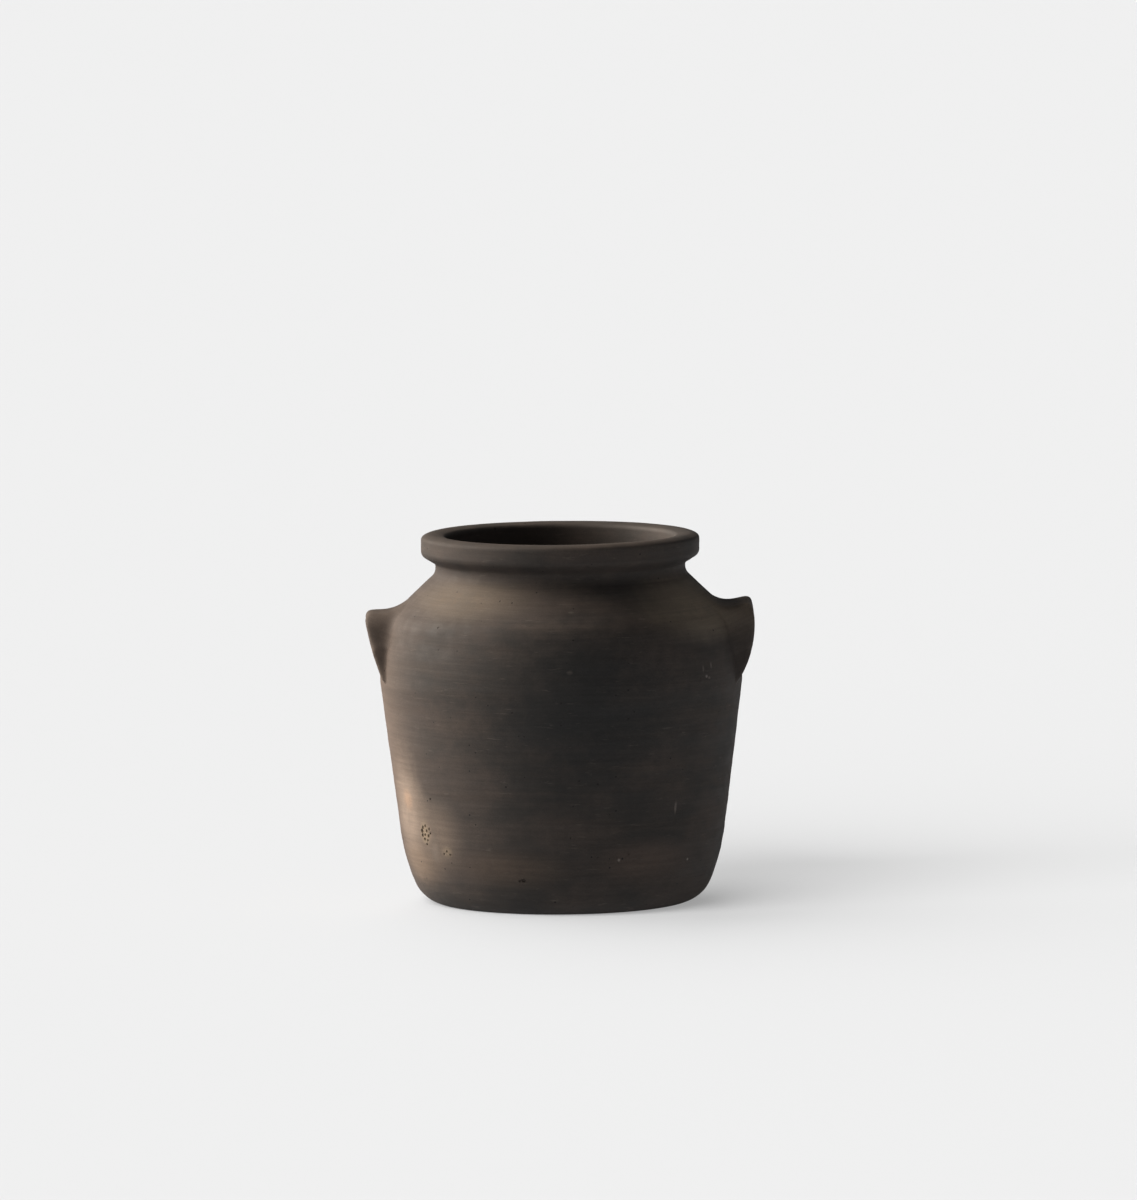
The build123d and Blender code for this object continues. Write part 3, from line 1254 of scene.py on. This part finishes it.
    def _lay_stain_and_painted_light(self, nodes: Nodes, where: Socket, colour: Socket, patch: Patch,
               rag: Socket) -> Socket:
        """Lays one patch on the colour, with ragged edges.

        Args:
            nodes: the material's nodes.
            where: the place on the piece.
            colour: the colour so far.
            patch: the patch.
            rag: a noise that makes the edge ragged.

        Returns:
            The colour with the patch.
        """
        size = self._pace(patch.across, patch.up)
        middle = tuple(-c * k for c, k in zip(patch.centre(), size))
        mapping = {"Vector": where, "Location": middle, "Scale": size}
        local = nodes.put("Mapping", mapping).outputs[0]
        away = nodes.put("VectorMath", {0: local}, operation="LENGTH").outputs["Value"]
        torn = {0: rag, 1: patch.ragged * 4, 2: away}
        away = nodes.put("Math", torn, operation="MULTIPLY_ADD").outputs[0]
        shift = patch.ragged * 2
        amount = nodes.spread(away, 1.15 + shift, 0.2 + shift, top=patch.amount)
        return nodes.tint(colour, linear(patch.colour), amount)

    def dress(self, piece: bpy.types.Object, material: bpy.types.Material) -> None:
        """Gives a piece the clay.

        Args:
            piece: the piece.
            material: the clay's material.
        """
        piece.data.materials.clear()
        piece.data.materials.append(material)


# ---- Studio ---------------------------------------------------------------------------------------


@dataclass(frozen=True)
class SoftLight:
    """A broad light a long way off. Angles in degrees; azimuth from the front towards -X."""

    name: str
    azimuth: float
    height: float
    width: float
    strength: float
    colour: str = "FFFFFF"

    def hang(self) -> bpy.types.Object:
        """Adds the light.

        Returns:
            The lamp.
        """
        sun = bpy.data.lights.new(self.name, "SUN")
        sun.energy = self.strength
        sun.angle = math.radians(self.width)
        sun.color = linear(self.colour)[:3]
        lamp = bpy.data.objects.new(self.name, sun)
        bpy.context.scene.collection.objects.link(lamp)
        a, e = math.radians(self.azimuth), math.radians(self.height)
        towards = Vector((-math.sin(a) * math.cos(e), -math.cos(a) * math.cos(e), math.sin(e)))
        lamp.rotation_mode = "QUATERNION"
        lamp.rotation_quaternion = towards.to_track_quat("Z", "Y")
        return lamp


@dataclass
class Studio:
    """A pale floor, soft lights from the side, and the camera."""

    floor_colour: str = "EFEFEF"
    glow: float = 0.331
    bounce: float = 0.095
    floor_albedo: float = 0.28
    key: SoftLight = SoftLight("soft_key", 103, 28, 60, 7.8, "FFF3E6")
    washes: tuple[SoftLight, ...] = (
        SoftLight("front_wash", 35, 20, 60, 9.0),
        SoftLight("back_wash", 130, 28, 100, 5.0),
    )
    surround: float = 0.12
    distance: float = 12.0
    elevation: float = 5.66
    aim: tuple[float, float, float] = (6 * MM, 0.0, 250 * MM)
    lens: float = 435.5
    sensor: float = 36.0
    sight: float = 200.0
    size: float = 120.0
    on_pot: bpy.types.Collection = field(init=False, default=None)
    on_floor: bpy.types.Collection = field(init=False, default=None)

    def sort_receivers(self) -> None:
        """Makes the two groups that the lights tell apart: the pot's pieces and the floor."""
        self.on_pot = bpy.data.collections.new("lit_by_key")
        self.on_floor = bpy.data.collections.new("lit_by_wash")

    def lay_floor(self) -> bpy.types.Object:
        """Lays the floor.

        Returns:
            The floor, which isn't part of the pot.
        """
        rest_all()
        bpy.ops.mesh.primitive_plane_add(size=self.size)
        floor = bpy.context.object
        floor.name = "floor"
        # Matt paint: an even pale ground with no reflection, whose shadow fades slowly.
        material = bpy.data.materials.new("pale painted floor, matt")
        nodes = Nodes(material)
        white = linear(self.floor_colour)
        seen = nodes.put("LightPath", {}).outputs["Is Camera Ray"]
        levels = {"Value": seen, "To Min": self.bounce / white[0], "To Max": self.glow / white[0]}
        strength = nodes.put("MapRange", levels).outputs["Result"]
        glow = nodes.put("Emission", {"Color": white, "Strength": strength})
        matt = nodes.put("BsdfDiffuse", {"Color": (self.floor_albedo,) * 3 + (1.0,)})
        both = nodes.put("AddShader", {0: glow.outputs[0], 1: matt.outputs[0]})
        nodes.put("OutputMaterial", {"Surface": both.outputs[0]})
        floor.data.materials.append(material)
        self.on_floor.objects.link(floor)
        return floor

    def light(self) -> None:
        """Lights the pot with the key and the floor with the washes, in dim surroundings."""
        self.key.hang().light_linking.receiver_collection = self.on_pot
        for wash in self.washes:
            wash.hang().light_linking.receiver_collection = self.on_floor
        world = bpy.data.worlds.new("studio")
        nodes = Nodes(world)
        seen = nodes.put("Background", {"Color": linear(self.floor_colour), "Strength": 1.0})
        felt = nodes.put("Background", {"Color": (1, 1, 1, 1), "Strength": self.surround})
        path = nodes.put("LightPath", {}).outputs["Is Camera Ray"]
        both = nodes.put("MixShader", {0: path, 1: felt.outputs[0], 2: seen.outputs[0]})
        nodes.put("OutputWorld", {"Surface": both.outputs[0]})
        bpy.context.scene.world = world

    def place_camera(self) -> None:
        """Places the camera a long way off, a little above the pot."""
        data = bpy.data.cameras.new("camera")
        data.lens = self.lens
        data.sensor_width = self.sensor
        data.clip_end = self.sight
        camera = bpy.data.objects.new("camera", data)
        bpy.context.scene.collection.objects.link(camera)
        e = math.radians(self.elevation)
        back = Vector((0, -math.cos(e), math.sin(e)))
        camera.location = Vector(self.aim) + back * self.distance
        camera.rotation_mode = "QUATERNION"
        camera.rotation_quaternion = back.to_track_quat("Z", "Y")
        bpy.context.scene.camera = camera
        bpy.context.scene.view_settings.view_transform = "Standard"


# ---- Putting it together --------------------------------------------------------------------------

# Azimuth in degrees from the front; height, width and depth in millimetres.
PITS = tuple(Pit(azimuth, *(size * MM for size in sizes)) for azimuth, *sizes in (
    (-58.6, 66.0, 3.6, 1.3), (-57.8, 69.0, 2.8, 1.0), (-58.4, 62.4, 3.0, 1.1),
    (-56.2, 70.5, 2.4, 0.8), (-55.6, 66.5, 2.8, 0.9), (-54.0, 68.6, 2.2, 0.8),
    (-56.8, 63.0, 2.4, 0.9), (-54.8, 62.6, 2.6, 1.0), (-57.2, 59.4, 2.6, 0.9),
    (-55.4, 58.6, 2.2, 0.7), (-53.4, 64.8, 2.0, 0.7), (-56.2, 55.4, 2.0, 0.7),
    (-45.4, 51.5, 2.0, 0.6), (-47.0, 49.0, 1.8, 0.5), (-51.4, 93.9, 1.8, 0.6),
    (-43.8, 49.0, 1.8, 0.6), (-46.0, 236.6, 1.6, 0.5), (-14.0, 31.0, 3.2, 1.1),
    (-15.4, 30.6, 2.2, 0.8), (3.4, 68.0, 2.0, 0.5), (13.0, 51.0, 1.8, 0.5),
    (24.5, 53.0, 1.8, 0.5), (140.0, 120.0, 2.4, 0.7), (205.0, 70.0, 2.6, 0.7),
))

# Azimuth in degrees; height, radius, width and height of the patch in millimetres; then its look. Most are
# stains and worn spots; the one on the right shoulder is also painted light.
STAINS_AND_PAINTED_LIGHT = tuple(Patch(azimuth, *(size * MM for size in sizes), *look) for azimuth, sizes, look in (
    # A darker patch over the middle of the front.
    (3, (172, 149, 100, 75), ("272727", 0.85)),
    (-85, (130, 146, 85, 160), ("6A5C52", 0.65)),
    (-45, (258, 118, 80, 20), ("675B4D", 0.55)),
    (-68, (84, 137, 36, 58), ("8C7D70", 0.75)),
    (-67, (90, 138, 12, 11), ("A98B72", 0.4, 0.2)),
    # A brown stain on the right shoulder, made lighter as painted light falling from the back right.
    (62, (250, 124, 75, 30), ("857868", 0.75)),
    (-65, (38, 129, 42, 22), ("82705F", 0.5)),
    (-20, (40, 128, 60, 18), ("55483E", 0.5)),
    (32, (46, 131, 55, 20), ("564840", 0.55)),
    (150, (150, 146, 90, 80), ("5A4A40", 0.5)),
    (215, (70, 138, 60, 50), ("80695A", 0.5)),
    (-52, (50, 133, 7, 15), ("56524F", 0.7)),
    (-56.4, (64, 136, 9, 12), ("A8977A", 0.55, 0.5)),
    (-45.5, (51, 133, 8, 6), ("93846C", 0.5, 0.5)),
    (88, (224, 156, 48, 46), ("5A4F48", 0.65)),
    (52, (44, 131, 1.6, 1.6), ("A09890", 0.8, 0.0)),
    (21, (48, 132, 1.6, 1.6), ("8A817A", 0.8, 0.0)),
    (42.8, (89, 138, 1.6, 7), ("7A706A", 0.6, 0.1)),
    (2.7, (205, 149, 3.0, 2.2), ("4F4A46", 0.6, 0.15)),
    (3.6, (252, 125, 3.5, 1.2), ("5A544E", 0.6, 0.15)),
    (51.5, (203, 149.5, 1.5, 4), ("77706B", 0.4, 0.3)),
    (55.8, (205, 149.5, 1.6, 4), ("817973", 0.5, 0.3)),
    (53.0, (196, 149.5, 2.0, 1.5), ("8C8580", 0.6, 0.3)),
    (54.4, (194.6, 149.5, 2.0, 1.4), ("6F6863", 0.6, 0.3)),
    (-50, (62, 135, 34, 40), ("6E6156", 0.6)),
))

LEFT_LUG = ArchedLug(
    "left_lug", -1, foot=(147.2 * MM, 185.6 * MM), edge_lean=67.3,
    edge=(Bend(240 * MM, 9), Bend(750 * MM, 1)),
    tip_radius=5.5 * MM, top_heading=180, top=9.2 * MM, saddle=Bend(26 * MM, -43.5),
    half_width=42 * MM, crown_half_width=29 * MM, crown_round=18 * MM,
)
RIGHT_LUG = ArchedLug(
    "right_lug", 1, foot=(144.2 * MM, 184.0 * MM), edge_lean=55,
    edge=(Bend(86 * MM, 35), Bend(48 * MM, 17)),
    tip_radius=5 * MM, top_heading=194, top=9.3 * MM, saddle=Bend(22 * MM, -57.5),
    half_width=42 * MM, crown_half_width=38 * MM, crown_round=16 * MM,
)
RIM_PROUD = 0.5 * MM  # how far the hand-turned crest stands above the drawn height


def main() -> None:
    """Sets up the studio, makes the pot and its lugs, and reports each piece."""
    logging.basicConfig(level=logging.INFO, format="%(name)s: %(message)s")
    studio = Studio()
    studio.sort_receivers()
    studio.lay_floor()
    studio.light()
    studio.place_camera()

    pot = TurnedPot(
        height=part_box("rim_roll")[1].z + RIM_PROUD,
        belly_radius=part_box("belly_wall")[1].y,
        rim_radius=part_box("rim_roll")[1].x,
    )
    pot.turn()
    pot.mark()
    pot.stand()
    lugs = {lug.name: lug.pull(pot) for lug in (LEFT_LUG, RIGHT_LUG)}
    pot.pit(PITS)
    pieces = {**pot.part(), **lugs}

    finish = SmokedClay(patches=STAINS_AND_PAINTED_LIGHT)
    clay = finish.mix()
    for name, piece in pieces.items():
        finish.dress(piece, clay)
        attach(piece, "root")
        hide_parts(name)
        studio.on_pot.objects.link(piece)
        low, high = places(piece).min(0), places(piece).max(0)
        LOG.info("%s: %d faces, %s to %s", piece.name, len(piece.data.polygons),
                 np.round(low * 1000, 1), np.round(high * 1000, 1))


if __name__ == "__main__":
    main()
